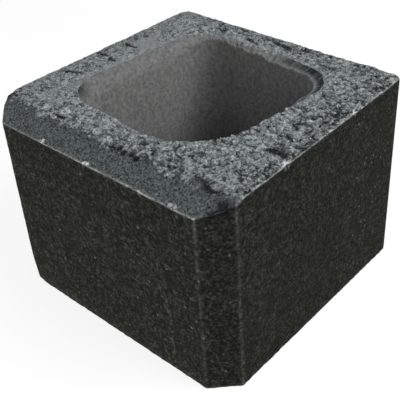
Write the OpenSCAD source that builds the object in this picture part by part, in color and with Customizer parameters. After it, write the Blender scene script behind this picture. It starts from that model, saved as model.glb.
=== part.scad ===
// Hollow concrete wall block, pressed in one piece: a unit that narrows to the back, with an open core,
// chamfered front corners and a bevel along the upper front edge.
// Millimetres, +Z up. The origin is the middle of the underside, and the front face looks towards -Y.

/* [Block] */
// Height of one course
block_h = 200; // [120:1:300]
// Width of the front, measured across the corners before they are cut
front_w = 286; // [240:1:400]
// Width of the back, narrower so that units can be laid on a curve
back_w = 273; // [230:1:400]
// Depth from the front face to the back face
block_d = 267; // [230:1:400]

/* [Corners and edges] */
// Leg of the chamfer on both front corners
front_chamfer = 23.5; // [10:0.5:30]
// Radius of the arrises on both sides of each front chamfer
arris_r = 4; // [1:0.5:8]
// Radius of both back corners
back_r = 8; // [2:1:20]
// How far the bevel on the upper front edge reaches back
bevel_depth = 25.5; // [10:0.5:36]
// How far that bevel comes down the front face
bevel_drop = 12.5; // [6:0.5:40]

/* [Core] */
// Thickness of the front wall, through the middle of the core, below the lip
front_wall = 61; // [50:1:80]
// Thickness of the back wall, through the middle of the core, below the lip
back_wall = 36; // [32:1:50]
// Thickness of the left wall, through the middle of the core, below the lip
left_wall = 51; // [42:1:60]
// Thickness of the right wall, through the middle of the core, below the lip
right_wall = 63; // [44:1:75]
// Turn of the core in the plan, positive anticlockwise
core_turn = -5; // [-6:1:6]
// Radius of three of the core's corners, at its top
core_r = 32; // [15:1:45]
// Radius of the fourth corner, at the right front
near_r = 60; // [15:1:70]
// Draft of the core: how much each wall thickens from the top to the underside
core_draft = 3; // [0.5:0.5:8]
// Width of the flared lip round the top of the core
lip_w = 9; // [2:0.5:11]
// Depth of the flared lip
lip_h = 5; // [3:0.5:20]

/* [Hidden] */
$fn = 48;

// Cutters run this far past the faces that they open
over = 5;
front_y = -block_d / 2;
back_y = block_d / 2;
middle_w = (front_w + back_w) / 2;

core_w = middle_w - left_wall - right_wall;
core_d = block_d - front_wall - back_wall;
core_x = (left_wall - right_wall) / 2;
core_y = (front_wall - back_wall) / 2;
core_reach = [core_w / 2, core_d / 2, core_w / 2, core_d / 2];
core_radii = [for (r = [near_r, core_r, core_r, core_r]) min(r, core_w / 2 - over, core_d / 2 - over)];
draft_slope = core_draft / block_h;
lip_slope = lip_w / lip_h;

// Half of the block's width at a distance y from the middle of its depth
function half_width(y) = middle_w / 2 + (back_w - front_w) / 2 * y / block_d;

// Corners of the plan before they are rounded, anticlockwise from the right end of the front face,
// and the radius of each
cut_y = front_y + front_chamfer;
corners = [
    [front_w / 2 - front_chamfer, front_y],
    [half_width(cut_y), cut_y],
    [back_w / 2, back_y],
    [-back_w / 2, back_y],
    [-half_width(cut_y), cut_y],
    [-front_w / 2 + front_chamfer, front_y],
];
radii = [arris_r, arris_r, back_r, back_r, arris_r, arris_r];

// Direction from corner i to the corner that comes step places after it
function towards(i, step) =
    let (way = corners[(i + step + 6) % 6] - corners[i]) way / norm(way);

// Half of the angle between the two faces that meet in corner i
function half_angle(i) = acos(towards(i, -1) * towards(i, 1)) / 2;

// Plan of the block: a polygon through the ends of the six round corners, and a circle in each corner
module plan() {
    polygon([
        for (i = [0:5], step = [-1, 1])
            corners[i] + towards(i, step) * radii[i] / tan(half_angle(i))
    ]);
    for (i = [0:5]) {
        bisector = (towards(i, -1) + towards(i, 1)) / (2 * cos(half_angle(i)));
        translate(corners[i] + bisector * radii[i] / sin(half_angle(i)))
            circle(r = radii[i]);
    }
}

// Everything above the sloping bevel of the upper front edge
module bevel_cut() {
    rotate([90, 0, 90])
        linear_extrude(front_w + 2 * over, center = true)
            polygon([
                [front_y, block_h - bevel_drop],
                [front_y + bevel_depth, block_h],
                [front_y + bevel_depth, block_h + over],
                [front_y - over, block_h + over],
                [front_y - over, block_h - bevel_drop],
            ]);
}

// Half bar along Y, from y0 to y1: it reaches so far along X at z = 0, and further by slope over the height h
module flared_half(reach, y0, y1, h, slope) {
    translate([0, y1, 0])
        rotate([90, 0, 0])
            linear_extrude(y1 - y0)
                polygon([
                    [-over, 0],
                    [reach, 0],
                    [reach + slope * h, h],
                    [-over, h],
                ]);
}

// Rectangle with round corners whose sides open by slope from z0 to z1; grow is its offset at z0
// from the outline that the core has at the top of the block. Each turn adds one side and the corner before it.
module flared_core(z0, z1, slope, grow) {
    h = z1 - z0;
    translate([core_x, core_y, z0])
        for (side = [0:3]) {
            after = (side + 1) % 4;
            r = core_radii[side];
            y0 = r - core_reach[after];
            y1 = core_reach[after] - core_radii[after];
            rotate([0, 0, core_turn + 90 * side]) {
                translate([core_reach[side] - r, y0, 0])
                    cylinder(h = h, r1 = r + grow, r2 = r + grow + slope * h);
                flared_half(core_reach[side] + grow, y0, y1, h, slope);
            }
        }
}

module block() {
    dip = 1;
    lip_foot = block_h - lip_h - dip;
    lip_foot_grow = -draft_slope * lip_h - lip_slope * dip;
    color("dimgray")
        difference() {
            linear_extrude(block_h)
                plan();
            bevel_cut();
            flared_core(-over, block_h + over, draft_slope, -draft_slope * (block_h + over));
            flared_core(lip_foot, block_h + over, lip_slope, lip_foot_grow);
        }
}

block();
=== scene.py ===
"""A hollow concrete wall block, pressed in one piece and left as it came out of the mould."""
import math

import bpy
import numpy as np
from mathutils import Matrix, Vector


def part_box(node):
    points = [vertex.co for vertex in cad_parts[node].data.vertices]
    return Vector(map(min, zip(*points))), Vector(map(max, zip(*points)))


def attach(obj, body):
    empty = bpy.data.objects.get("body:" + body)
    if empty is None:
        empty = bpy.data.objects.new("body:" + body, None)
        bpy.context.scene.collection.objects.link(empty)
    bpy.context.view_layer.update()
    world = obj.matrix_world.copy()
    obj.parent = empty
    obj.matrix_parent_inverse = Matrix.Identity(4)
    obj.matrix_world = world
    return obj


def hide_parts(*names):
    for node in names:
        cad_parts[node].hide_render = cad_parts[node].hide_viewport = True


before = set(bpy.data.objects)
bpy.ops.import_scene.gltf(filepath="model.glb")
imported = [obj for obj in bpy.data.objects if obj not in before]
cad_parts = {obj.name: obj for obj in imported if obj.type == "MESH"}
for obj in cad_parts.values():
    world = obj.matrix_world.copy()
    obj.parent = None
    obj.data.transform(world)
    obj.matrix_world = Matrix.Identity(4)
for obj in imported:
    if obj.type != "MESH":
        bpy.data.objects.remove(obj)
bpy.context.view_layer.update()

# The block: one unit of black pigmented concrete, pressed dry in a steel mould and stripped while green.
# The mould gave its faces and its bevel, a drafted bar gave its core, and the open top was only tamped.
MM = 0.001
low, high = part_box("block")
block_h, front_y, back_y = high.z, low.y, high.y
front_w, back_w = 286 * MM, 273 * MM
front_chamfer = 23.5 * MM
arris_r, back_r = 4 * MM, 8 * MM
bevel_depth, bevel_drop = 25.5 * MM, 12.5 * MM
bevel_head = front_y + bevel_depth
core_half = np.array([82.75, 85.0]) * MM
core_middle = np.array([-6.0, 12.5]) * MM
core_turn = math.radians(-5)
core_r, near_r, core_draft = 32 * MM, 60 * MM, 3 * MM
lip_w, lip_h = 9 * MM, 5 * MM
# Worn radii of the edges round the top and the foot
top_edge_r, foot_edge_r = 0.7 * MM, 0.8 * MM
# Spacing of the mesh round the plan, and its number of rows on each surface
plan_step = 1.45 * MM
wall_rows, top_rows, lip_rows, core_rows, foot_rows = 42, 54, 8, 18, 5


def half_width(y):
    """Half of the block's width at a place between its front and its back."""
    along = (y - front_y) / (back_y - front_y)
    return (front_w + (back_w - front_w) * along) / 2


def rounded_plan():
    """Points round the plan, with the way out at each and its distance from the nearest front arris."""
    cut_y = front_y + front_chamfer
    right = [
        (front_w / 2 - front_chamfer, front_y, arris_r),
        (half_width(cut_y), cut_y, arris_r),
        (back_w / 2, back_y, back_r),
    ]
    corners = right + [(-x, y, r) for x, y, r in reversed(right)]
    places = [Vector(c[:2]) for c in corners]
    arcs = []
    for i, (*_, r) in enumerate(corners):
        arrive = (places[i] - places[i - 1]).normalized()
        leave = (places[(i + 1) % len(corners)] - places[i]).normalized()
        turn = arrive.angle(leave)
        out = Vector((arrive.y, -arrive.x))
        middle = places[i] - arrive * r * math.tan(turn / 2) - out * r
        steps = max(3, round(r * turn / plan_step))
        arcs.append([(middle, Matrix.Rotation(turn * k / steps, 2) @ out, r) for k in range(steps + 1)])
    points, normals = [], []
    for arc, following in zip(arcs, arcs[1:] + arcs[:1]):
        for middle, out, r in arc:
            points.append(middle + out * r)
            normals.append(out)
        middle, out, r = following[0]
        begin, end = points[-1], middle + out * r
        steps = max(2, round((end - begin).length / plan_step))
        for k in range(1, steps):
            points.append(begin.lerp(end, k / steps))
            normals.append(out)
    points, normals = np.array(points), np.array(normals)
    arrises = np.array([p for p, c in zip(places, corners) if c[2] == arris_r])
    return points, normals, np.linalg.norm(points[:, None] - arrises, axis=2).min(1)


def core_reach(direction, grow):
    """Distance from the core's middle to its wall in each direction, with its outline grown by so much."""
    cos, sin = math.cos(core_turn), math.sin(core_turn)
    local = direction @ np.array([[cos, -sin], [sin, cos]])
    r = np.where((local[:, 0] > 0) & (local[:, 1] < 0), near_r, core_r)
    near, far = np.zeros(len(local)), np.full(len(local), front_w)
    for _ in range(40):
        reach = (near + far) / 2
        q = np.abs(local * reach[:, None]) - (core_half - r[:, None])
        outside = np.hypot(*np.maximum(q, 0).T) + np.minimum(q.max(1), 0) - r > grow
        near, far = np.where(outside, near, reach), np.where(outside, reach, far)
    return near


def top_height(plan):
    """Height of the top over each point of the plan: level, then down the bevel, with a soft crest."""
    level = np.full(len(plan), block_h)
    slope = block_h - bevel_drop + (plan[:, 1] - front_y) * bevel_drop / bevel_depth
    soft = 0.9 * MM
    return -np.logaddexp(-level / soft, -slope / soft) * soft


outer, outward, arris_distance = rounded_plan()
ray = outer - core_middle
ray /= np.linalg.norm(ray, axis=1)[:, None]
around = len(outer)

# The core bar dragged a lip round its top: a sunken dark band in the right back corner, pale smears along
# the back, and on the left a long flare that passes for the core's own wall.
bearing = np.degrees(np.arctan2(ray[:, 1], ray[:, 0]))


def window(first, last, fade):
    """Share from 0 to 1 of the bearings from first to last, in degrees, with soft ends."""
    middle, half = (first + last) / 2, (last - first) / 2
    away = np.abs((bearing - middle + 180) % 360 - 180) - half
    return np.clip(0.5 - away / fade, 0, 1)


band, sunken = window(14, 76, 22), window(12, 50, 26)
smeared, pinched = window(78, 128, 18), window(96, 134, 18)
# The nook is a painted shade at the core's left front corner
flare, nook_shade = window(130, 218, 24), window(213, 229, 12)
drawn_down = window(140, 372, 24)
# How much deeper the lip is where it was drawn down, and how much narrower and shallower where pinched
drawn_h, pinch_w, pinch_h = 11 * MM, 4.5 * MM, 1.5 * MM
# Waves round the lip, by share, number and lag in degrees, and the fraying of its edge from point to point
sway = sum(
    share * np.sin(np.radians(bearing * waves + lag))
    for share, waves, lag in ((1.0, 11, 0), (0.8, 23, 60), (0.7, 41, 0)))
rng = np.random.default_rng(7)
fray = rng.normal(size=(2, around))
fray = (np.roll(fray, 1, 1) + 2 * fray + np.roll(fray, -1, 1)) / 2.5
ragged = 0.3 + 0.7 * smeared - 0.2 * sunken
lip_width = lip_w + (sway * 0.5 + fray[0] * ragged) * MM - pinch_w * pinched
lip_depth = lip_h + drawn_h * drawn_down - pinch_h * pinched
lip_depth += (sway * (0.3 + 0.5 * smeared) + fray[1] * 0.8 * smeared) * MM


def row(plan, z):
    """A ring of points over this plan, at one height or at a height for each."""
    return np.column_stack([plan, np.broadcast_to(z, around)])


def core_row(grow, z):
    """A ring on the core's wall, with the core's outline grown by so much."""
    return row(core_middle + ray * core_reach(ray, grow)[:, None], z)


def wear(distance, width):
    """Share from 0 to 1 of the wear at a distance from an edge, fading over this width."""
    return np.exp(-(distance / width) ** 2)


# The form is a closed skin of rings: up the faces, over the top, down the core and back under the foot.
# Each ring has the zone of the faces after it, and weights that the node tree and the materials read.
FACE, TOP, CORE = 0, 1, 2
rows, zones, weights = [], [], []


def add_row(points, zone, opened=0.0, worn=0.0, lip=0.0, burnished=0.0):
    """Adds a ring to the form, with its zone and its weights."""
    rows.append(points)
    zones.append(np.broadcast_to(zone, around))
    weights.append([np.broadcast_to(w, around) for w in (opened, worn, lip, burnished)])


# The left front corner is rubbed away towards the foot
rub_depth, rub_reach, rub_height = 2.8 * MM, 22 * MM, 38 * MM
left_corner = np.array([(front_chamfer - front_w) / 2, front_y + front_chamfer / 2])
rubbed = rub_depth * np.exp(-(np.linalg.norm(outer - left_corner, axis=1) / rub_reach) ** 4)


def outline(z):
    """The plan of the faces at one height, or at a height for each point."""
    return outer - outward * (rubbed * np.clip(1 - z / rub_height, 0, 1) ** 1.5)[:, None]


# The front arris under the bevel is rubbed palest, mostly on its right half, and the short one over each
# chamfer least. The upright arrises are rubbed too, those of the front face more than those of the sides.
edge_top = top_height(outer)
on_front = outer[:, 1] < front_y + 1 * MM
by_front = outer[:, 1] < front_y + 6 * MM
on_chamfer = outer[:, 1] < front_y + front_chamfer
front_wear = 0.55 + 0.45 * np.clip((outer[:, 0] + 70 * MM) / (60 * MM), 0, 1)
edge_wear = np.where(on_front, front_wear, np.where(on_chamfer, 0.08, 0.8))
arris_wear = np.where(by_front, 0.75, 0.5)
foot_wear, front_foot_wear = 0.4, np.where(on_front, 0.16, 0.0)
edge_fade, arris_fade, foot_fade, front_foot_fade = 0.9 * MM, 1.5 * MM, 2.5 * MM, 10 * MM
for i in range(wall_rows + 1):
    # The rings stand closer at the foot and under the upper edge
    u = i / wall_rows
    u = 0.15 * u + 0.425 * (1 - math.cos(math.pi * u))
    z = foot_edge_r + (edge_top - top_edge_r - foot_edge_r) * u
    upward = np.where(by_front, 0.45 + 0.55 * u ** 2, 1)
    worn = np.maximum.reduce([
        edge_wear * wear(edge_top - z, edge_fade),
        arris_wear * upward * wear(arris_distance, arris_fade),
        foot_wear * wear(z, foot_fade),
        front_foot_wear * wear(z, front_foot_fade),
    ])
    add_row(row(outline(z), z), FACE, worn=worn)
for angle in (30, 60):
    inset = top_edge_r * (1 - math.cos(math.radians(angle)))
    plan = outer - outward * inset
    z = top_height(plan) - top_edge_r * (1 - math.sin(math.radians(angle)))
    add_row(row(plan, z), TOP, opened=0.5, worn=edge_wear)

# The top runs from the shoulder of the faces to the rim of the lip. Paste is drawn smooth along the rim,
# and wiped smooth at one spot on the left.
rim = core_middle + ray * core_reach(ray, lip_width)[:, None]
shoulder = outer - outward * top_edge_r
span = np.linalg.norm(rim - shoulder, axis=1)
rim_drawn = np.maximum.reduce([0.5 * flare, 0.7 * smeared, 0.4 * band])
wiped_spot, wiped_reach = np.array([-109, 45]) * MM, 17 * MM
rim_fade, shoulder_fade, opened_over = 6 * MM, 0.8 * MM, 9 * MM
for i in range(top_rows):
    plan = shoulder + (rim - shoulder) * i / top_rows
    inside = span * i / top_rows
    wiped = 0.75 * wear(np.linalg.norm(plan - wiped_spot, axis=1) ** 2, wiped_reach ** 2)
    drawn = np.maximum(rim_drawn * wear(span - inside, rim_fade), wiped)
    opened = np.clip(0.5 + inside / opened_over, 0, 1) * (1 - drawn)
    worn = 0.5 * edge_wear * wear(inside, shoulder_fade)
    add_row(row(plan, top_height(plan)), TOP, opened=opened, worn=worn, lip=drawn)
for i in range(lip_rows):
    u = i / lip_rows
    # Where the lip is sunken it falls into a trough before it meets the wall
    trough = np.interp(u, (0, 0.35, 0.75, 0.9, 1), (0, 0.75, 0.85, 0.8, 1))
    fall = u + sunken * (trough - u)
    ring = core_row(lip_width * (1 - u) ** (1 + 0.9 * flare), block_h - lip_depth * fall)
    skin = np.where((smeared + 0.25 * fray[0] > 0.5) & (u < 0.3), TOP, CORE)
    kept = (1 - np.maximum.reduce([band, 0.5 * smeared, flare])) * (1 - u)
    # The lip's dark paste, and a painted shade in the nook at its left front corner
    dark_paste_and_shade = np.maximum.reduce([
        band * (0.76 + 0.12 * sunken + 0.12 * fray[1]) * (1 - u ** 4),
        1.6 * smeared * u * (1 - u),
        0.25 * flare * (1 - u),
        0.9 * nook_shade * (1 - u),
    ])
    pale = np.maximum(band * u ** 6, smeared * (0.3 + 0.7 * (1 - u) ** 3))
    add_row(ring, skin, opened=kept, lip=dark_paste_and_shade, burnished=pale)
for i in range(core_rows):
    z = block_h - lip_depth - (block_h - lip_depth - foot_edge_r) * (i / core_rows) ** 1.6
    smears = smeared * 0.6 ** i * np.clip(0.4 + fray[1], 0, 1)
    add_row(core_row(-core_draft * (1 - z / block_h), z), CORE, burnished=band * float(i == 0) + smears)
for angle in (0, 45):
    lift = foot_edge_r * (1 - math.sin(math.radians(angle)))
    add_row(core_row(-core_draft + foot_edge_r * (1 - math.cos(math.radians(angle))), lift), CORE)
inner_foot = core_row(-core_draft + foot_edge_r, 0)[:, :2]
outer_foot = outline(0) - outward * foot_edge_r
for i in range(foot_rows + 1):
    plan = inner_foot + (outer_foot - inner_foot) * i / foot_rows
    add_row(row(plan, 0), FACE, worn=0.5 * float(i == foot_rows))
add_row(row(outline(0) - outward * foot_edge_r * 0.3, foot_edge_r * 0.3), FACE, worn=0.5)

along = len(rows)
index = np.arange(around * along).reshape(along, around)
right = np.roll(index, -1, 1)
quads = np.stack([index, right, np.roll(right, -1, 0), np.roll(index, -1, 0)], -1).reshape(-1, 4)
form = bpy.data.meshes.new("block_form")
form.from_pydata(np.concatenate(rows).tolist(), [], quads.tolist(), shade_flat=False)
zone = form.attributes.new("zone", "INT", "FACE")
zone.data.foreach_set("value", np.concatenate(zones).astype(np.int32))

# Knocks that the block took in handling, in millimetres: place, reach, depth and how pale the break is
knocks = [
    ((-6, -133.5, 187.6), 3.2, 0.8, 1.0), ((-3, -132, 188.2), 2.4, 0.5, 1.0),
    ((-63, -131.5, 188.5), 2.6, 0.5, 0.8), ((93, -131, 188.6), 2.2, 0.4, 0.5),
    ((98, -130.5, 189), 1.8, 0.3, 0.5), ((60, -133.5, 187.5), 2.2, 0.6, 0.8),
    ((46, -133.5, 187.5), 1.8, 0.4, 0.7), ((119, -133.5, 186.5), 2.2, 0.8, 0.7),
    ((119.5, -133, 153), 2.6, 0.9, 0.4), ((141, -46, 199.6), 4.4, 1.2, 1.0),
    ((140, -42, 200), 3.0, 0.8, 0.8), ((138.5, 53, 199.8), 3.2, 0.8, 1.0),
    ((137.5, 98, 199.8), 3.0, 0.8, 0.9), ((139.5, 16, 200), 2.4, 0.7, 0.7),
    ((142, -80, 200), 2.6, 0.9, 0.4), ((132, -120, 195), 10.0, 4.0, 0.0),
    ((-141, -108, 199.5), 14.0, 2.6, 0.0), ((1, 101, 199), 2.6, 0.2, 0.7),
    ((-36, 98, 199.5), 2.2, 0.2, 0.6),
]
# Clumps that stand proud where the tamped top breaks off into the bevel, and a swelling at the right back
knocks += [((x, y, 200), reach, -rise, pale) for x, y, reach, rise, pale in (
    (-90, -101, 5.0, 1.6, 0.4), (-67, -98, 5.5, 2.0, 0.6), (-58, -112, 3.0, 1.0, 0.25),
    (-20, -103, 5.0, 1.6, 0.25), (-5, -107, 4.5, 1.4, 0.2), (117, -101, 6.0, 1.8, 0.25),
    (123, -98, 5.0, 1.4, 0.2), (103, -97, 4.5, 1.2, 0.15), (138, -105, 7.0, 2.2, 0.1),
    (128, -101, 4.0, 1.4, 0.1), (102, 127, 18.0, 1.5, 0.0),
)]
# Hollows, painted dark as shade, by place, reach and depth: in the broken edge over the near chamfer and
# along the bevel's head
hollows = [
    ((130, -123.5, 191.5), 6.5, 2.2), ((135, -118, 193.5), 6.5, 2.2),
    ((140.5, -110.5, 197), 4.5, 1.6), ((-82, -106, 199), 3.5, 1.4),
]
hollows += [((8 + 7 * k, -111 + 2 * (k % 2), 198), 4.0, 1.6) for k in range(5)]
# Crevices that wander from one place of the top to another, each a chain of small hollows
crevice_step, crevice_stray, crevice_depth = 1.6, 0.7, 0.8
for start, end, reach in (
    ((104, -103), (119, -109), 3.6), ((-136, 2), (-123, 2), 2.6),
    ((-118, 0), (-108, -2), 2.6), ((-127, 33), (-113, 33), 2.6), ((-132, -47), (-113, -37), 2.6),
    ((-73, -105), (-62, -106), 2.3), ((-78, 116), (-63, 117), 2.4), ((-52, 129), (-41, 127), 2.2),
    ((-31, 115), (-18, 110), 2.6), ((-4, 125), (18, 119), 3.2), ((129, -119), (139, -108), 3.4),
):
    chain = np.linspace(start, end, round(math.dist(start, end) / crevice_step) + 1)
    chain += rng.normal(scale=crevice_stray, size=chain.shape)
    chain = np.column_stack([chain, top_height(chain * MM) / MM])
    hollows += [(spot, reach * rng.uniform(0.6, 1.3), crevice_depth) for spot in chain]
# A scrape across the right wall, and the burr that it raised on its near side
scrape = np.linspace((117, -36.4), (131, -36.4), 12)
hollows += [((x, y, block_h / MM), 4.2, 0.8) for x, y in scrape]
knocks += [
    ((x - 8 + 0.4 * k, y - 6.5 - 0.2 * k, block_h / MM), 2.6, -0.9, 0.2) for k, (x, y) in enumerate(scrape)]
# A faint scratch down the right half of the front face
scratch_z = np.arange(9, 94, 1.0)
scratch_x = np.interp(scratch_z, (9, 37, 62, 75, 84, 94), (81.7, 82.2, 82.5, 79.2, 75.3, 73.0))
knocks += [((x, front_y / MM, z), 2.2, 0.05, 0.3) for x, z in zip(scratch_x, scratch_z)]

points = np.concatenate(rows)
out = np.empty(len(points) * 3, np.float32)
form.vertex_normals.foreach_get("vector", out)
out = out.reshape(-1, 3)


def bitten(spot, reach):
    """Share from 0 to 1 of a knock's depth at each point of the form."""
    away = np.linalg.norm(points - np.array(spot) * MM, axis=1)
    return np.clip(1 - (away / (reach * MM)) ** 2, 0, 1)


fresh, pit, sink, cleared = np.zeros((4, len(points)))
for spot, reach, depth, pale in knocks:
    bite = bitten(spot, reach)
    points -= out * (depth * MM * bite ** 1.5)[:, None]
    fresh = np.maximum(fresh, pale * np.minimum(1, 2.5 * bite))
# Each hollow is sunk into the form and painted dark as shade
for spot, reach, depth in hollows:
    bite = bitten(spot, reach)
    pit = np.maximum(pit, np.minimum(1, 1.6 * bite))
    sink = np.maximum(sink, bite * depth * MM)
    # The shallow ones, the crevices and the scrape, are swept clear of crumbs
    cleared = np.maximum(cleared, bite * (depth < 1))
points[:, 2] -= sink
form.vertices.foreach_set("co", points.ravel().astype(np.float32))
form.update()
opened, worn, lip, burnished = np.array(weights).transpose(1, 0, 2).reshape(4, -1)
opened *= 1 - 0.8 * cleared
# A painted shade: a darker line round the faces a little under their upper edge
shade_drop, shade_fade = 5.5 * MM, 4.5 * MM
faces = np.arange(around * (wall_rows + 1))
below = np.tile(edge_top, wall_rows + 1) - points[faces, 2]
under_edge_shade = np.tile(np.where(on_front, 0.18, 0.28), wall_rows + 1)
pit[faces] = np.maximum(pit[faces], under_edge_shade * wear(below - shade_drop, shade_fade))
for name, values in (
    ("opened", opened), ("worn", worn), ("lip", lip), ("burnished", burnished), ("fresh", fresh),
    ("pit", pit),
):
    form.attributes.new(name, "FLOAT", "POINT").data.foreach_set("value", values.astype(np.float32))
block = bpy.data.objects.new("pressed_block", form)
bpy.context.scene.collection.objects.link(block)


def linear(code):
    """Linear colour of an sRGB hex code."""
    values = [int(code[i:i + 2], 16) / 255 for i in (0, 2, 4)]
    return [v / 12.92 if v <= 0.04045 else ((v + 0.055) / 1.055) ** 2.4 for v in values] + [1.0]


def add_node(tree, kind, inputs=None, **settings):
    """Adds a node, sets its options and fills its inputs, each with a value or with another node's output."""
    node = tree.nodes.new(kind)
    for name, value in settings.items():
        setattr(node, name, value)
    for key, value in (inputs or {}).items():
        links = value if isinstance(value, list) else [value]
        if isinstance(links[0], bpy.types.NodeSocket):
            for link in links:
                tree.links.new(link, node.inputs[key])
        else:
            node.inputs[key].default_value = value
    return node.outputs


def start_material(name):
    """Starts a material, and gives it with its node tree and the place that its patterns read."""
    material = bpy.data.materials.new(name)
    material.use_nodes = True
    tree = material.node_tree
    return material, tree, add_node(tree, "ShaderNodeTexCoord")["Object"]


def finish_material(tree, colour, roughness, specular, grit=None):
    """Gives a material its colour and its dull finish, and the fine bumps of its grit where it has any."""
    shader = tree.nodes["Principled BSDF"]
    tree.links.new(colour, shader.inputs["Base Color"])
    if grit:
        tree.links.new(grit, shader.inputs["Normal"])
    shader.inputs["Roughness"].default_value = roughness
    shader.inputs["Specular IOR Level"].default_value = specular


def crumb_pattern(tree, place):
    """The crumbs that the tamped top broke into: their height, their tone, and the share of the bevel there.

    The relief, the loose grains and the colour read this one pattern over the plan, so that the dark of the
    crevices, part pigmented paste and part painted shade, lies in the real ones.
    """
    crumb, lump, grain, patch, wander = 5.6 * MM, 4 * MM, 1.8 * MM, 19 * MM, 11 * MM
    ripple, ripple_reach = 4 * MM, 3.5 * MM
    margin_start, margin_end = 105 * MM, 130 * MM
    head_y, head_reach = bevel_head + 1 * MM, 9 * MM
    wander_reach, crumb_reach = 22 * MM, 7 * MM
    bevel_start, bevel_end = bevel_head + 16 * MM, bevel_head + 12 * MM
    plan = add_node(tree, "ShaderNodeVectorMath", {0: place, 1: (1, 1, 0)}, operation="MULTIPLY")[0]
    shake = add_node(tree, "ShaderNodeTexNoise", {
        "Vector": plan, "Scale": 1 / ripple, "Detail": 2}, noise_dimensions="2D")
    shake = add_node(tree, "ShaderNodeVectorMath", {
        0: shake["Color"], 1: (0.5, 0.5, 0.5)}, operation="SUBTRACT")[0]
    shake = add_node(tree, "ShaderNodeVectorMath", {0: shake, "Scale": ripple_reach}, operation="SCALE")[0]
    shaken = add_node(tree, "ShaderNodeVectorMath", {0: plan, 1: shake}, operation="ADD")[0]
    # Crumbs of every size, from a centimetre down to sand
    crumbs = add_node(tree, "ShaderNodeTexNoise", {
        "Vector": shaken, "Scale": 1 / crumb, "Detail": 6, "Roughness": 0.72}, noise_dimensions="2D")[0]
    # Flat lumps, each at its own level and leaning its own way
    lumps = add_node(tree, "ShaderNodeTexVoronoi", {
        "Vector": shaken, "Scale": 1 / lump}, voronoi_dimensions="2D")
    level = add_node(tree, "ShaderNodeVectorMath", {
        0: lumps["Color"], 1: (0, 0, 1)}, operation="DOT_PRODUCT")["Value"]
    aside = add_node(tree, "ShaderNodeVectorMath", {
        0: shaken, 1: lumps["Position"]}, operation="SUBTRACT")[0]
    slant = add_node(tree, "ShaderNodeVectorMath", {
        0: lumps["Color"], 1: (0.5, 0.5, 0.5)}, operation="SUBTRACT")[0]
    lean = add_node(tree, "ShaderNodeVectorMath", {0: aside, 1: slant}, operation="DOT_PRODUCT")["Value"]
    # Single grains on the lumps
    grains = add_node(tree, "ShaderNodeTexVoronoi", {
        "Vector": shaken, "Scale": 1 / grain}, voronoi_dimensions="2D")
    chance = add_node(tree, "ShaderNodeVectorMath", {
        0: grains["Color"], 1: (1, 0, 0)}, operation="DOT_PRODUCT")["Value"]
    # Patches that tamping closed, and others that it left open, more of them on the right, along the outer
    # edges and at the head of the bevel
    closed = add_node(tree, "ShaderNodeTexNoise", {
        "Vector": plan, "Scale": 1 / patch, "Detail": 2}, noise_dimensions="2D")[0]
    x = add_node(tree, "ShaderNodeVectorMath", {0: plan, 1: (1, 0, 0)}, operation="DOT_PRODUCT")["Value"]
    y = add_node(tree, "ShaderNodeVectorMath", {0: plan, 1: (0, 1, 0)}, operation="DOT_PRODUCT")["Value"]
    closed = add_node(tree, "ShaderNodeMath", {0: closed, 1: 0.5}, operation="MULTIPLY")[0]
    closed = add_node(tree, "ShaderNodeMath", {0: x, 1: -0.5, 2: closed}, operation="MULTIPLY_ADD")[0]
    margin = add_node(tree, "ShaderNodeMath", {0: x}, operation="ABSOLUTE")[0]
    margin = add_node(tree, "ShaderNodeMath", {0: margin, 1: y}, operation="MAXIMUM")[0]
    margin = add_node(tree, "ShaderNodeMapRange", {
        "Value": margin, "From Min": margin_start, "From Max": margin_end})[0]
    closed = add_node(tree, "ShaderNodeMath", {0: margin, 1: -0.1, 2: closed}, operation="MULTIPLY_ADD")[0]
    head = add_node(tree, "ShaderNodeMath", {0: y, 1: head_y, 2: head_reach}, operation="COMPARE")[0]
    closed = add_node(tree, "ShaderNodeMath", {0: head, 1: -0.12, 2: closed}, operation="MULTIPLY_ADD")[0]
    stand = add_node(tree, "ShaderNodeMath", {0: crumbs, 1: 1.0, 2: closed}, operation="MULTIPLY_ADD")[0]
    stand = add_node(tree, "ShaderNodeMath", {0: level, 1: 0.15, 2: stand}, operation="MULTIPLY_ADD")[0]
    stand = add_node(tree, "ShaderNodeMath", {0: chance, 1: 0.08, 2: stand}, operation="MULTIPLY_ADD")[0]
    stand = add_node(tree, "ShaderNodeMath", {0: lean, 1: 0.06 / MM, 2: stand}, operation="MULTIPLY_ADD")[0]
    # Flakes lie over each other in steps, with a dark crevice at the foot of each step
    steps = 8
    flake = add_node(tree, "ShaderNodeMath", {0: stand, 1: steps}, operation="MULTIPLY")[0]
    crevice = add_node(tree, "ShaderNodeMath", {0: flake}, operation="FRACT")[0]
    flake = add_node(tree, "ShaderNodeMath", {0: flake}, operation="FLOOR")[0]
    flake = add_node(tree, "ShaderNodeMath", {0: flake, 1: 0.5}, operation="ADD")[0]
    flake = add_node(tree, "ShaderNodeMath", {0: flake, 1: steps}, operation="DIVIDE")[0]
    crevice = add_node(tree, "ShaderNodeMapRange", {"Value": crevice, "From Min": 0.6, "From Max": 0.95})[0]
    stand = add_node(tree, "ShaderNodeMix", {"Factor": 0.6, 2: stand, 3: flake})[0]
    stand = add_node(tree, "ShaderNodeMath", {0: crevice, 1: -0.24, 2: stand}, operation="MULTIPLY_ADD")[0]
    height = add_node(tree, "ShaderNodeMapRange", {"Value": stand, "From Min": 0.47, "From Max": 0.91},
                      interpolation_type="SMOOTHSTEP")[0]
    tone = add_node(tree, "ShaderNodeMix", {"Factor": 0.5, 2: chance, 3: level})[0]
    tone = add_node(tree, "ShaderNodeMix", {"Factor": 0.4, 2: tone, 3: crumbs})[0]
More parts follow.
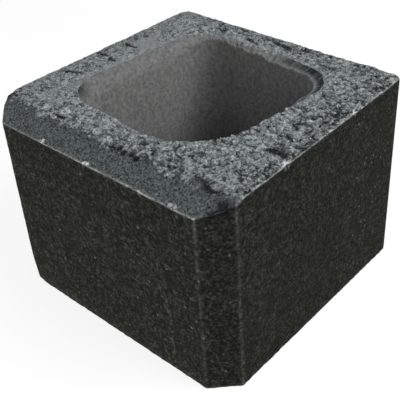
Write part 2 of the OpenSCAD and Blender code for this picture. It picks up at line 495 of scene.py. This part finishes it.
    # The crumbs meet the bevel along a wandering line
    drift = add_node(tree, "ShaderNodeTexNoise", {
        "Vector": plan, "Scale": 1 / wander, "Detail": 2}, noise_dimensions="2D")[0]
    y = add_node(tree, "ShaderNodeMath", {0: drift, 1: wander_reach, 2: y}, operation="MULTIPLY_ADD")[0]
    y = add_node(tree, "ShaderNodeMath", {0: height, 1: crumb_reach, 2: y}, operation="MULTIPLY_ADD")[0]
    bevel = add_node(tree, "ShaderNodeMapRange", {
        "Value": y, "From Min": bevel_start, "From Max": bevel_end}, interpolation_type="SMOOTHSTEP")[0]
    height = add_node(tree, "ShaderNodeMath", {
        0: lean, 1: 0.12 / MM, 2: height}, operation="MULTIPLY_ADD")[0]
    return height, tone, bevel


# Tamped concrete: dry mix struck off and tamped by the mould's head, never trowelled. It stays open and
# crumbly, with pale dry grains over crevices of dark pigmented paste that are painted darker still as shade.
# It is calmer along the left wall, and closer and darker where the mould pressed the bevel.
tamped, tree, place = start_material("tamped_concrete")
height, tone, bevel = crumb_pattern(tree, place)
fine = add_node(tree, "ShaderNodeTexNoise", {
    "Vector": place, "Scale": 1 / (1.8 * MM), "Detail": 4, "Roughness": 0.7})[0]
speckled = add_node(tree, "ShaderNodeMath", {0: fine, 1: 1.5, 2: tone}, operation="MULTIPLY_ADD")[0]
speckled = add_node(tree, "ShaderNodeMapRange", {"Value": speckled, "From Min": 0.95, "From Max": 1.65})[0]
x = add_node(tree, "ShaderNodeVectorMath", {0: place, 1: (1, 0, 0)}, operation="DOT_PRODUCT")["Value"]
calm = add_node(tree, "ShaderNodeMapRange", {
    "Value": x, "From Min": -85 * MM, "From Max": -110 * MM, "To Max": 0.4})[0]
speckled = add_node(tree, "ShaderNodeMix", {"Factor": calm, 2: speckled, 3: 0.43})[0]
grain = add_node(tree, "ShaderNodeMix", {
    "Factor": speckled, 6: linear("3C4242"), 7: linear("BEC6C5")}, data_type="RGBA")[2]
# The low places and crevices are dark pigmented paste with painted shade over it
rise = add_node(tree, "ShaderNodeMapRange", {"Value": height, "From Min": 0.0, "From Max": 0.75})[0]
top_colour = add_node(tree, "ShaderNodeMix", {
    "Factor": rise, 6: linear("1E2323"), 7: grain}, data_type="RGBA")[2]
lip = add_node(tree, "ShaderNodeAttribute", attribute_name="lip")["Fac"]
top_colour = add_node(tree, "ShaderNodeMix", {
    "Factor": lip, 6: top_colour, 7: linear("898D90")}, data_type="RGBA")[2]
# The bevel is speckled by its grit, and darker over the low places of the crumbs
pressed = add_node(tree, "ShaderNodeMapRange", {"Value": fine, "From Min": 0.36, "From Max": 0.66})[0]
bevel_colour = add_node(tree, "ShaderNodeMix", {
    "Factor": pressed, 6: linear("0C0E0E"), 7: linear("747B7C")}, data_type="RGBA")[2]
mottle = add_node(tree, "ShaderNodeMapRange", {
    "Value": height, "From Min": 0.0, "From Max": 0.5, "To Min": 0.5, "To Max": 0.0})[0]
bevel_colour = add_node(tree, "ShaderNodeMix", {
    "Factor": mottle, 6: bevel_colour, 7: linear("222626")}, data_type="RGBA")[2]
colour = add_node(tree, "ShaderNodeMix", {
    "Factor": bevel, 6: top_colour, 7: bevel_colour}, data_type="RGBA")[2]
# Hollows are painted dark as shade, rubbed arrises pale and fresh breaks palest
pit = add_node(tree, "ShaderNodeAttribute", attribute_name="pit")["Fac"]
ragged = add_node(tree, "ShaderNodeMapRange", {"Value": speckled, "From Min": 2.0, "From Max": 0.4})[0]
pit = add_node(tree, "ShaderNodeMath", {0: pit, 1: ragged}, operation="MULTIPLY")[0]
colour = add_node(tree, "ShaderNodeMix", {
    "Factor": pit, 6: colour, 7: linear("1A1D1D")}, data_type="RGBA")[2]
worn = add_node(tree, "ShaderNodeAttribute", attribute_name="worn")["Fac"]
patchy = add_node(tree, "ShaderNodeTexNoise", {
    "Vector": place, "Scale": 1 / (5 * MM), "Detail": 6, "Roughness": 0.8})[0]
patchy = add_node(tree, "ShaderNodeMapRange", {"Value": patchy, "From Min": 0.4, "From Max": 0.58})[0]
rubbed = add_node(tree, "ShaderNodeMath", {0: worn, 1: patchy}, operation="MULTIPLY")[0]
colour = add_node(tree, "ShaderNodeMix", {
    "Factor": rubbed, 6: colour, 7: linear("B9BDBB")}, data_type="RGBA")[2]
fresh = add_node(tree, "ShaderNodeAttribute", attribute_name="fresh")["Fac"]
broken = add_node(tree, "ShaderNodeMapRange", {"Value": fine, "From Min": 0.36, "From Max": 0.5})[0]
fresh = add_node(tree, "ShaderNodeMath", {0: fresh, 1: broken}, operation="MULTIPLY")[0]
colour = add_node(tree, "ShaderNodeMix", {
    "Factor": fresh, 6: colour, 7: linear("E0E6E4")}, data_type="RGBA")[2]
rough = add_node(tree, "ShaderNodeMath", {0: tone, 1: 0.5, 2: fine}, operation="MULTIPLY_ADD")[0]
grit = add_node(tree, "ShaderNodeBump", {"Strength": 0.7, "Distance": 0.7 * MM, "Height": rough})[0]
finish_material(tree, colour, roughness=0.95, specular=0.1, grit=grit)

# Mould-faced concrete: a close dark skin of pigmented cement pressed against steel and dragged as the mould
# was lifted. Sand and small stones show through it as a paler grain, with faint upright streaks, darker
# clouds and a few pale specks, and its arrises are rubbed pale.
faced, tree, place = start_material("mould_faced_concrete")
fine = add_node(tree, "ShaderNodeTexNoise", {
    "Vector": place, "Scale": 1 / (2.8 * MM), "Detail": 5, "Roughness": 0.72})[0]
sand = add_node(tree, "ShaderNodeTexVoronoi", {"Vector": place, "Scale": 1 / (1.8 * MM)})["Color"]
sand = add_node(tree, "ShaderNodeVectorMath", {0: sand, 1: (1, 0, 0)}, operation="DOT_PRODUCT")["Value"]
stone = add_node(tree, "ShaderNodeTexVoronoi", {"Vector": place, "Scale": 1 / (4.2 * MM)})["Color"]
stone = add_node(tree, "ShaderNodeVectorMath", {0: stone, 1: (1, 0, 0)}, operation="DOT_PRODUCT")["Value"]
drawn = add_node(tree, "ShaderNodeMapping", {"Vector": place, "Scale": (1, 1, 0.08)})[0]
streak = add_node(tree, "ShaderNodeTexNoise", {
    "Vector": drawn, "Scale": 1 / (7 * MM), "Detail": 4, "Roughness": 0.6})[0]
blend = add_node(tree, "ShaderNodeMix", {"Factor": 0.1, 2: fine, 3: streak})[0]
blend = add_node(tree, "ShaderNodeMath", {0: sand, 1: 0.12, 2: blend}, operation="MULTIPLY_ADD")[0]
blend = add_node(tree, "ShaderNodeMath", {0: stone, 1: 0.09, 2: blend}, operation="MULTIPLY_ADD")[0]
blend = add_node(tree, "ShaderNodeMapRange", {"Value": blend, "From Min": 0.46, "From Max": 0.8})[0]
blend = add_node(tree, "ShaderNodeMath", {0: blend, 1: 2.2}, operation="POWER")[0]
colour = add_node(tree, "ShaderNodeMix", {
    "Factor": blend, 6: linear("151611"), 7: linear("5C5E56")}, data_type="RGBA")[2]
# Darker clouds, and lone pale specks of sand
cloud = add_node(tree, "ShaderNodeTexNoise", {"Vector": place, "Scale": 1 / (10 * MM), "Detail": 4})[0]
cloud = add_node(tree, "ShaderNodeMapRange", {
    "Value": cloud, "From Min": 0.35, "From Max": 0.65, "To Max": 0.42})[0]
colour = add_node(tree, "ShaderNodeMix", {
    "Factor": cloud, 6: colour, 7: linear("1C1E1A")}, data_type="RGBA")[2]
speck = add_node(tree, "ShaderNodeTexVoronoi", {"Vector": place, "Scale": 1 / (6 * MM)})
lone = add_node(tree, "ShaderNodeVectorMath", {
    0: speck["Color"], 1: (1, 0, 0)}, operation="DOT_PRODUCT")["Value"]
lone = add_node(tree, "ShaderNodeMapRange", {"Value": lone, "From Min": 0.82, "From Max": 1.0})[0]
dot = add_node(tree, "ShaderNodeMapRange", {
    "Value": speck["Distance"], "From Min": 0.24, "From Max": 0.1})[0]
dot = add_node(tree, "ShaderNodeMath", {0: dot, 1: lone}, operation="MULTIPLY")[0]
colour = add_node(tree, "ShaderNodeMix", {
    "Factor": dot, 6: colour, 7: linear("7E807A")}, data_type="RGBA")[2]
# Painted shade in the hollows and in a line under the upper edge
pit = add_node(tree, "ShaderNodeAttribute", attribute_name="pit")["Fac"]
colour = add_node(tree, "ShaderNodeMix", {
    "Factor": pit, 6: colour, 7: linear("121414")}, data_type="RGBA")[2]
worn = add_node(tree, "ShaderNodeAttribute", attribute_name="worn")["Fac"]
patchy = add_node(tree, "ShaderNodeTexNoise", {
    "Vector": place, "Scale": 1 / (16 * MM), "Detail": 6, "Roughness": 0.7})[0]
patchy = add_node(tree, "ShaderNodeMapRange", {"Value": patchy, "From Min": 0.28, "From Max": 0.66})[0]
rubbed = add_node(tree, "ShaderNodeMath", {0: worn, 1: patchy}, operation="MULTIPLY")[0]
gritty = add_node(tree, "ShaderNodeMapRange", {
    "Value": blend, "From Max": 0.5, "To Min": 0.4, "To Max": 1.0})[0]
rubbed = add_node(tree, "ShaderNodeMath", {0: rubbed, 1: gritty}, operation="MULTIPLY")[0]
colour = add_node(tree, "ShaderNodeMix", {
    "Factor": rubbed, 6: colour, 7: linear("8A8C87")}, data_type="RGBA")[2]
fresh = add_node(tree, "ShaderNodeAttribute", attribute_name="fresh")["Fac"]
fresh = add_node(tree, "ShaderNodeMath", {0: fresh, 1: blend}, operation="MULTIPLY")[0]
colour = add_node(tree, "ShaderNodeMix", {
    "Factor": fresh, 6: colour, 7: linear("AEB2AF")}, data_type="RGBA")[2]
grit = add_node(tree, "ShaderNodeBump", {"Strength": 0.12, "Distance": 0.5 * MM, "Height": fine})[0]
finish_material(tree, colour, roughness=0.92, specular=0.1, grit=grit)

# Core-faced concrete: cement paste drawn up by the core bar as it was pulled, smoother and paler than the
# outside, with fine upright streaks. Painted shade darkens it with depth and in its lip's left front corner,
# and its lip is otherwise part dark and part rubbed.
cored, tree, place = start_material("core_faced_concrete")
fine = add_node(tree, "ShaderNodeTexNoise", {
    "Vector": place, "Scale": 1 / (3.8 * MM), "Detail": 5, "Roughness": 0.72})[0]
drawn = add_node(tree, "ShaderNodeMapping", {"Vector": place, "Scale": (1, 1, 0.1)})[0]
streak = add_node(tree, "ShaderNodeTexNoise", {
    "Vector": drawn, "Scale": 1 / (2.6 * MM), "Detail": 3, "Roughness": 0.6})[0]
blend = add_node(tree, "ShaderNodeMix", {"Factor": 0.15, 2: fine, 3: streak})[0]
blend = add_node(tree, "ShaderNodeMapRange", {"Value": blend, "From Min": 0.34, "From Max": 0.66})[0]
colour = add_node(tree, "ShaderNodeMix", {
    "Factor": blend, 6: linear("656565"), 7: linear("989897")}, data_type="RGBA")[2]
# Painted shade: the core is darker towards its foot
depth = add_node(tree, "ShaderNodeVectorMath", {0: place, 1: (0, 0, 1)}, operation="DOT_PRODUCT")["Value"]
depth = add_node(tree, "ShaderNodeMapRange", {
    "Value": depth, "From Min": 122 * MM, "From Max": 58 * MM, "To Max": 0.58})[0]
colour = add_node(tree, "ShaderNodeMix", {
    "Factor": depth, 6: colour, 7: linear("3A3A3A")}, data_type="RGBA")[2]
lip = add_node(tree, "ShaderNodeAttribute", attribute_name="lip")["Fac"]
colour = add_node(tree, "ShaderNodeMix", {
    "Factor": lip, 6: colour, 7: linear("1C2828")}, data_type="RGBA")[2]
burnished = add_node(tree, "ShaderNodeAttribute", attribute_name="burnished")["Fac"]
# Burnished smears, warmer on the left and cooler on the right
pulled = add_node(tree, "ShaderNodeMapping", {"Vector": place, "Scale": (1, 1, 0.3)})[0]
dragged = add_node(tree, "ShaderNodeTexNoise", {
    "Vector": pulled, "Scale": 1 / (2.4 * MM), "Detail": 4, "Roughness": 0.7})[0]
dragged = add_node(tree, "ShaderNodeMapRange", {"Value": dragged, "From Min": 0.36, "From Max": 0.62})[0]
smear = add_node(tree, "ShaderNodeMix", {
    "Factor": dragged, 6: linear("4C4A48"), 7: linear("A6A4A0")}, data_type="RGBA")[2]
x = add_node(tree, "ShaderNodeSeparateXYZ", {"Vector": place})["X"]
rightward = add_node(tree, "ShaderNodeMapRange", {"Value": x, "From Min": -20 * MM, "From Max": 15 * MM})[0]
rub = add_node(tree, "ShaderNodeMix", {
    "Factor": dragged, 6: linear("4A5050"), 7: linear("9AA0A0")}, data_type="RGBA")[2]
smear = add_node(tree, "ShaderNodeMix", {"Factor": rightward, 6: smear, 7: rub}, data_type="RGBA")[2]
colour = add_node(tree, "ShaderNodeMix", {"Factor": burnished, 6: colour, 7: smear}, data_type="RGBA")[2]
grit = add_node(tree, "ShaderNodeBump", {"Strength": 0.25, "Distance": 0.3 * MM, "Height": fine})[0]
finish_material(tree, colour, roughness=0.9, specular=0.1, grit=grit)


def start_tree(name, taken, sizes, made):
    """Starts a Geometry Nodes tree from the mesh taken to the mesh made, with a named input for each size.

    It gives the tree, its input node and the value for each input's identifier.
    """
    kinds = {float: "NodeSocketFloat", int: "NodeSocketInt", bpy.types.Material: "NodeSocketMaterial"}
    tree = bpy.data.node_groups.new(name, "GeometryNodeTree")
    tree.interface.new_socket(taken, in_out="INPUT", socket_type="NodeSocketGeometry")
    settings = {}
    for key, value in sizes.items():
        socket = tree.interface.new_socket(key, in_out="INPUT", socket_type=kinds[type(value)])
        settings[socket.identifier] = value
    tree.interface.new_socket(made, in_out="OUTPUT", socket_type="NodeSocketGeometry")
    return tree, add_node(tree, "NodeGroupInput"), settings


def run_tree(piece, tree, settings):
    """Runs a node tree on a piece with these settings, and keeps the plain mesh that comes out."""
    modifier = piece.modifiers.new(tree.name, "NODES")
    modifier.node_group = tree
    for identifier, value in settings.items():
        modifier[identifier] = value
    graph = bpy.context.evaluated_depsgraph_get()
    mesh = bpy.data.meshes.new_from_object(
        piece.evaluated_get(graph), preserve_all_data_layers=True, depsgraph=graph)
    piece.modifiers.remove(modifier)
    piece.data = mesh


# The surface that each zone of the form gets, raised and sunk by its own pattern
relief, given, settings = start_tree("concrete_relief", "Form", {
    "Crumb Height": 1.8 * MM, "Swell Size": 30 * MM, "Swell Height": 2.2 * MM, "Bevel Grit": 0.8 * MM,
    "Face Grit": 0.1 * MM, "Arris Wear": 1.2 * MM, "Tamped": tamped, "Mould Faced": faced,
    "Core Faced": cored,
}, "Block")
place = add_node(relief, "GeometryNodeInputPosition")[0]
out = add_node(relief, "GeometryNodeInputNormal")[0]
opened = add_node(relief, "GeometryNodeInputNamedAttribute", {"Name": "opened"}, data_type="FLOAT")[0]
worn = add_node(relief, "GeometryNodeInputNamedAttribute", {"Name": "worn"}, data_type="FLOAT")[0]
# Crumbs stand up from the tamped top and finer grit from the bevel, on slow swells
height, _, bevel = crumb_pattern(relief, place)
height = add_node(relief, "ShaderNodeMath", {0: height, 1: 0.45}, operation="SUBTRACT")[0]
height = add_node(relief, "ShaderNodeMath", {0: height, 1: given["Crumb Height"]}, operation="MULTIPLY")[0]
grain = add_node(relief, "ShaderNodeTexNoise", {"Vector": place, "Scale": 1 / (3 * MM), "Detail": 2})[0]
grain = add_node(relief, "ShaderNodeMath", {0: grain, 1: 0.5}, operation="SUBTRACT")[0]
pressed = add_node(relief, "ShaderNodeMath", {0: grain, 1: given["Bevel Grit"]}, operation="MULTIPLY")[0]
height = add_node(relief, "ShaderNodeMix", {"Factor": bevel, 2: height, 3: pressed})[0]
waves = add_node(relief, "ShaderNodeMath", {0: 1.0, 1: given["Swell Size"]}, operation="DIVIDE")[0]
swell = add_node(relief, "ShaderNodeTexNoise", {"Vector": place, "Scale": waves, "Detail": 1})[0]
swell = add_node(relief, "ShaderNodeMath", {0: swell, 1: 0.5}, operation="SUBTRACT")[0]
height = add_node(relief, "ShaderNodeMath", {
    0: swell, 1: given["Swell Height"], 2: height}, operation="MULTIPLY_ADD")[0]
height = add_node(relief, "ShaderNodeMath", {0: height, 1: opened}, operation="MULTIPLY")[0]
lift = add_node(relief, "ShaderNodeVectorMath", {0: (0, 0, 1), "Scale": height}, operation="SCALE")[0]
# The closed faces have a fine grit of their own, and their arrises are rubbed back unevenly
closed = add_node(relief, "ShaderNodeMath", {0: 1.0, 1: opened}, operation="SUBTRACT")[0]
skin = add_node(relief, "ShaderNodeMath", {0: grain, 1: given["Face Grit"]}, operation="MULTIPLY")[0]
skin = add_node(relief, "ShaderNodeMath", {0: skin, 1: closed}, operation="MULTIPLY")[0]
rub = add_node(relief, "ShaderNodeTexNoise", {"Vector": place, "Scale": 1 / (6 * MM), "Detail": 2})[0]
rub = add_node(relief, "ShaderNodeMapRange", {
    "Value": rub, "From Min": 0.4, "From Max": 0.75, "To Max": -1})[0]
rub = add_node(relief, "ShaderNodeMath", {0: rub, 1: worn}, operation="MULTIPLY")[0]
skin = add_node(relief, "ShaderNodeMath", {
    0: rub, 1: given["Arris Wear"], 2: skin}, operation="MULTIPLY_ADD")[0]
push = add_node(relief, "ShaderNodeVectorMath", {0: out, "Scale": skin}, operation="SCALE")[0]
offset = add_node(relief, "ShaderNodeVectorMath", {0: lift, 1: push}, operation="ADD")[0]
shape = add_node(relief, "GeometryNodeSetPosition", {"Geometry": given["Form"], "Offset": offset})[0]
shape = add_node(relief, "GeometryNodeRealizeInstances", {"Geometry": shape})[0]
zone = add_node(relief, "GeometryNodeInputNamedAttribute", {"Name": "zone"}, data_type="INT")[0]
for number, name in ((FACE, "Mould Faced"), (TOP, "Tamped"), (CORE, "Core Faced")):
    chosen = add_node(relief, "FunctionNodeCompare", {
        2: zone, 3: number}, data_type="INT", operation="EQUAL")[0]
    shape = add_node(relief, "GeometryNodeSetMaterial", {
        "Geometry": shape, "Selection": chosen, "Material": given[name]})[0]
add_node(relief, "NodeGroupOutput", {"Block": shape})

run_tree(block, relief, settings)
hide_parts("block")
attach(block, "root")

# Loose grains: crushed aggregate of the same concrete that tamping left proud of the top, each bedded by
# more than half of its height. They are angular, one to a few millimetres across, and from dark to pale.
aggregate, tree, place = start_material("crushed_aggregate")
tone = add_node(tree, "ShaderNodeAttribute", attribute_name="tone")["Fac"]
fine = add_node(tree, "ShaderNodeTexNoise", {"Vector": place, "Scale": 1 / (1.2 * MM), "Detail": 2})[0]
tone = add_node(tree, "ShaderNodeMix", {"Factor": 0.35, 2: tone, 3: fine})[0]
colour = add_node(tree, "ShaderNodeMix", {
    "Factor": tone, 6: linear("363C3C"), 7: linear("B0B8B7")}, data_type="RGBA")[2]
finish_material(tree, colour, roughness=0.9, specular=0.15)

scatter, given, settings = start_tree("grain_scatter", "Bed", {
    "Spacing": 1.9 * MM, "Density": 160000.0, "Least Radius": 0.6 * MM, "Largest Radius": 2.1 * MM,
    "Seed": 11, "Grain": aggregate,
}, "Grains")
place = add_node(scatter, "GeometryNodeInputPosition")[0]
height, _, bevel = crumb_pattern(scatter, place)
opened = add_node(scatter, "GeometryNodeInputNamedAttribute", {"Name": "opened"}, data_type="FLOAT")[0]
# Grains lie where the top is open and stands proud, and none on the bevel
share = add_node(scatter, "ShaderNodeMath", {0: 1.0, 1: bevel}, operation="SUBTRACT")[0]
clear = add_node(scatter, "ShaderNodeMapRange", {"Value": opened, "From Min": 0.85, "From Max": 1.0})[0]
share = add_node(scatter, "ShaderNodeMath", {0: share, 1: clear}, operation="MULTIPLY")[0]
proud = add_node(scatter, "ShaderNodeMapRange", {"Value": height, "From Min": 0.2, "From Max": 0.8})[0]
share = add_node(scatter, "ShaderNodeMath", {0: share, 1: proud}, operation="MULTIPLY")[0]
spots = add_node(scatter, "GeometryNodeDistributePointsOnFaces", {
    "Mesh": given["Bed"], "Distance Min": given["Spacing"], "Density Max": given["Density"],
    "Density Factor": share, "Seed": given["Seed"]}, distribute_method="POISSON")[0]
# Most of them are small, and each is sunk into its bed
chance = add_node(scatter, "FunctionNodeRandomValue", {2: 0.0, 3: 1.0, "Seed": 1}, data_type="FLOAT")[1]
chance = add_node(scatter, "ShaderNodeMath", {0: chance, 1: 2.6}, operation="POWER")[0]
radius = add_node(scatter, "ShaderNodeMix", {
    "Factor": chance, 2: given["Least Radius"], 3: given["Largest Radius"]})[0]
bury = add_node(scatter, "ShaderNodeMath", {0: radius, 1: -0.15}, operation="MULTIPLY")[0]
bury = add_node(scatter, "ShaderNodeCombineXYZ", {"Z": bury})[0]
spots = add_node(scatter, "GeometryNodeSetPosition", {"Geometry": spots, "Offset": bury})[0]
# A few stones, each a cube with its corners knocked in and out
stones = []
stone_count = 5
for number in range(stone_count):
    cube = add_node(scatter, "GeometryNodeMeshCube", {"Size": (1.5, 1.5, 1.5)})[0]
    corner = add_node(scatter, "GeometryNodeInputPosition")[0]
    knock = add_node(scatter, "ShaderNodeTexNoise", {
        "Vector": corner, "W": number * 3.7, "Scale": 1.7}, noise_dimensions="4D")
    knock = add_node(scatter, "ShaderNodeVectorMath", {
        0: knock["Color"], 1: (0.5, 0.5, 0.5)}, operation="SUBTRACT")[0]
    knock = add_node(scatter, "ShaderNodeVectorMath", {0: knock, "Scale": 2.2}, operation="SCALE")[0]
    stone = add_node(scatter, "GeometryNodeSetPosition", {"Geometry": cube, "Offset": knock})[0]
    stones.append(add_node(scatter, "GeometryNodeGeometryToInstance", {"Geometry": stone})[0])
stones = add_node(scatter, "GeometryNodeJoinGeometry", {"Geometry": stones})[0]
pick = add_node(scatter, "FunctionNodeRandomValue", {
    4: 0, 5: stone_count - 1, "Seed": 2}, data_type="INT")[2]
tumble = add_node(scatter, "FunctionNodeRandomValue", {
    0: (-0.5, -0.5, 0), 1: (0.5, 0.5, 6.28), "Seed": 3}, data_type="FLOAT_VECTOR")[0]
squat = add_node(scatter, "FunctionNodeRandomValue", {
    0: (0.7, 0.7, 0.3), 1: (1.3, 1.1, 0.55), "Seed": 4}, data_type="FLOAT_VECTOR")[0]
size = add_node(scatter, "ShaderNodeVectorMath", {0: squat, "Scale": radius}, operation="SCALE")[0]
grains = add_node(scatter, "GeometryNodeInstanceOnPoints", {
    "Points": spots, "Instance": stones, "Pick Instance": True, "Instance Index": pick, "Rotation": tumble,
    "Scale": size})[0]
shade = add_node(scatter, "FunctionNodeRandomValue", {2: 0.0, 3: 1.0, "Seed": 5}, data_type="FLOAT")[1]
grains = add_node(scatter, "GeometryNodeStoreNamedAttribute", {
    "Geometry": grains, "Name": "tone", "Value": shade}, data_type="FLOAT", domain="INSTANCE")[0]
grains = add_node(scatter, "GeometryNodeRealizeInstances", {"Geometry": grains})[0]
grains = add_node(scatter, "GeometryNodeSetMaterial", {"Geometry": grains, "Material": given["Grain"]})[0]
add_node(scatter, "NodeGroupOutput", {"Grains": grains})

loose = bpy.data.objects.new("loose_grains", block.data.copy())
bpy.context.scene.collection.objects.link(loose)
run_tree(loose, scatter, settings)
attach(loose, "root")

# The studio: a pale floor that is white to the camera and keeps a faint shadow, a large soft lamp high on
# the right, and a low card of light in front that reaches the upright faces only.
floor_half = 6
floor_mesh = bpy.data.meshes.new("floor")
floor_corners = [(x * floor_half, y * floor_half, 0) for x, y in ((-1, -1), (1, -1), (1, 1), (-1, 1))]
floor_mesh.from_pydata(floor_corners, [], [(0, 1, 2, 3)])
floor = bpy.data.objects.new("floor", floor_mesh)
bpy.context.scene.collection.objects.link(floor)


def shows_background(tree):
    """1 for rays that show the background to the camera, in gloss or through glass, and 0 for the rest."""
    path = add_node(tree, "ShaderNodeLightPath")
    seen = add_node(tree, "ShaderNodeMath", {
        0: path["Is Camera Ray"], 1: path["Is Glossy Ray"]}, operation="MAXIMUM")[0]
    return add_node(tree, "ShaderNodeMath", {
        0: seen, 1: path["Is Transmission Ray"]}, operation="MAXIMUM")[0]


pale = bpy.data.materials.new("pale_floor")
pale.use_nodes = True
tree = pale.node_tree
tree.nodes.clear()
seen = shows_background(tree)
plain = add_node(tree, "ShaderNodeBsdfDiffuse", {"Color": linear("6A6A6A")})[0]
shaded = add_node(tree, "ShaderNodeBsdfDiffuse", {"Color": linear("7C7C7C")})[0]
bright = add_node(tree, "ShaderNodeEmission", {"Color": linear("FFFFFF"), "Strength": 0.85})[0]
shown = add_node(tree, "ShaderNodeAddShader", {0: shaded, 1: bright})[0]
mixed = add_node(tree, "ShaderNodeMixShader", {0: seen, 1: plain, 2: shown})[0]
add_node(tree, "ShaderNodeOutputMaterial", {"Surface": mixed})
floor_mesh.materials.append(pale)

world = bpy.data.worlds.new("studio")
world.use_nodes = True
tree = world.node_tree
tree.nodes.clear()
seen = shows_background(tree)
strength = add_node(tree, "ShaderNodeMapRange", {"Value": seen, "To Min": 0.45, "To Max": 1.0})[0]
sky = add_node(tree, "ShaderNodeBackground", {"Color": linear("FFFFFF"), "Strength": strength})[0]
add_node(tree, "ShaderNodeOutputWorld", {"Surface": sky})
bpy.context.scene.world = world

for name, place, aim, size, power in (
    ("key", (1.09, 0.33, 1.42), (0, 0, 0.15), (0.8, 0.8), 17.8),
    ("front_card", (-0.02, -1.0, 0.085), (0, -0.13, 0.085), (1.3, 0.15), 4.3),
):
    lamp = bpy.data.objects.new(name, bpy.data.lights.new(name, "AREA"))
    lamp.data.shape = "RECTANGLE"
    lamp.data.size, lamp.data.size_y = size
    lamp.data.energy = power
    lamp.location = place
    lamp.rotation_euler = (Vector(aim) - lamp.location).to_track_quat("-Z", "Y").to_euler()
    lamp.visible_camera = False
    bpy.context.scene.collection.objects.link(lamp)

# The camera stands above the near corner, tilted a little, as a hand holds it.
camera_place = Vector((0.4622, -0.4713, 0.5527))
view_azimuth, view_elevation, view_roll = math.radians(44.688), math.radians(35.780), math.radians(-4.100)
back = Vector((
    math.sin(view_azimuth) * math.cos(view_elevation),
    -math.cos(view_azimuth) * math.cos(view_elevation),
    math.sin(view_elevation),
))
level_right = Vector((0, 0, 1)).cross(back).normalized()
level_up = back.cross(level_right)
view_right = level_right * math.cos(view_roll) + level_up * math.sin(view_roll)
view_up = level_up * math.cos(view_roll) - level_right * math.sin(view_roll)
camera = bpy.data.objects.new("camera", bpy.data.cameras.new("camera"))
turned = Matrix((view_right, view_up, back)).transposed().to_4x4()
camera.matrix_world = Matrix.Translation(camera_place) @ turned
camera.data.sensor_width = 36
camera.data.lens = 72.722
bpy.context.scene.collection.objects.link(camera)
bpy.context.scene.camera = camera
bpy.context.scene.view_settings.view_transform = "Standard"
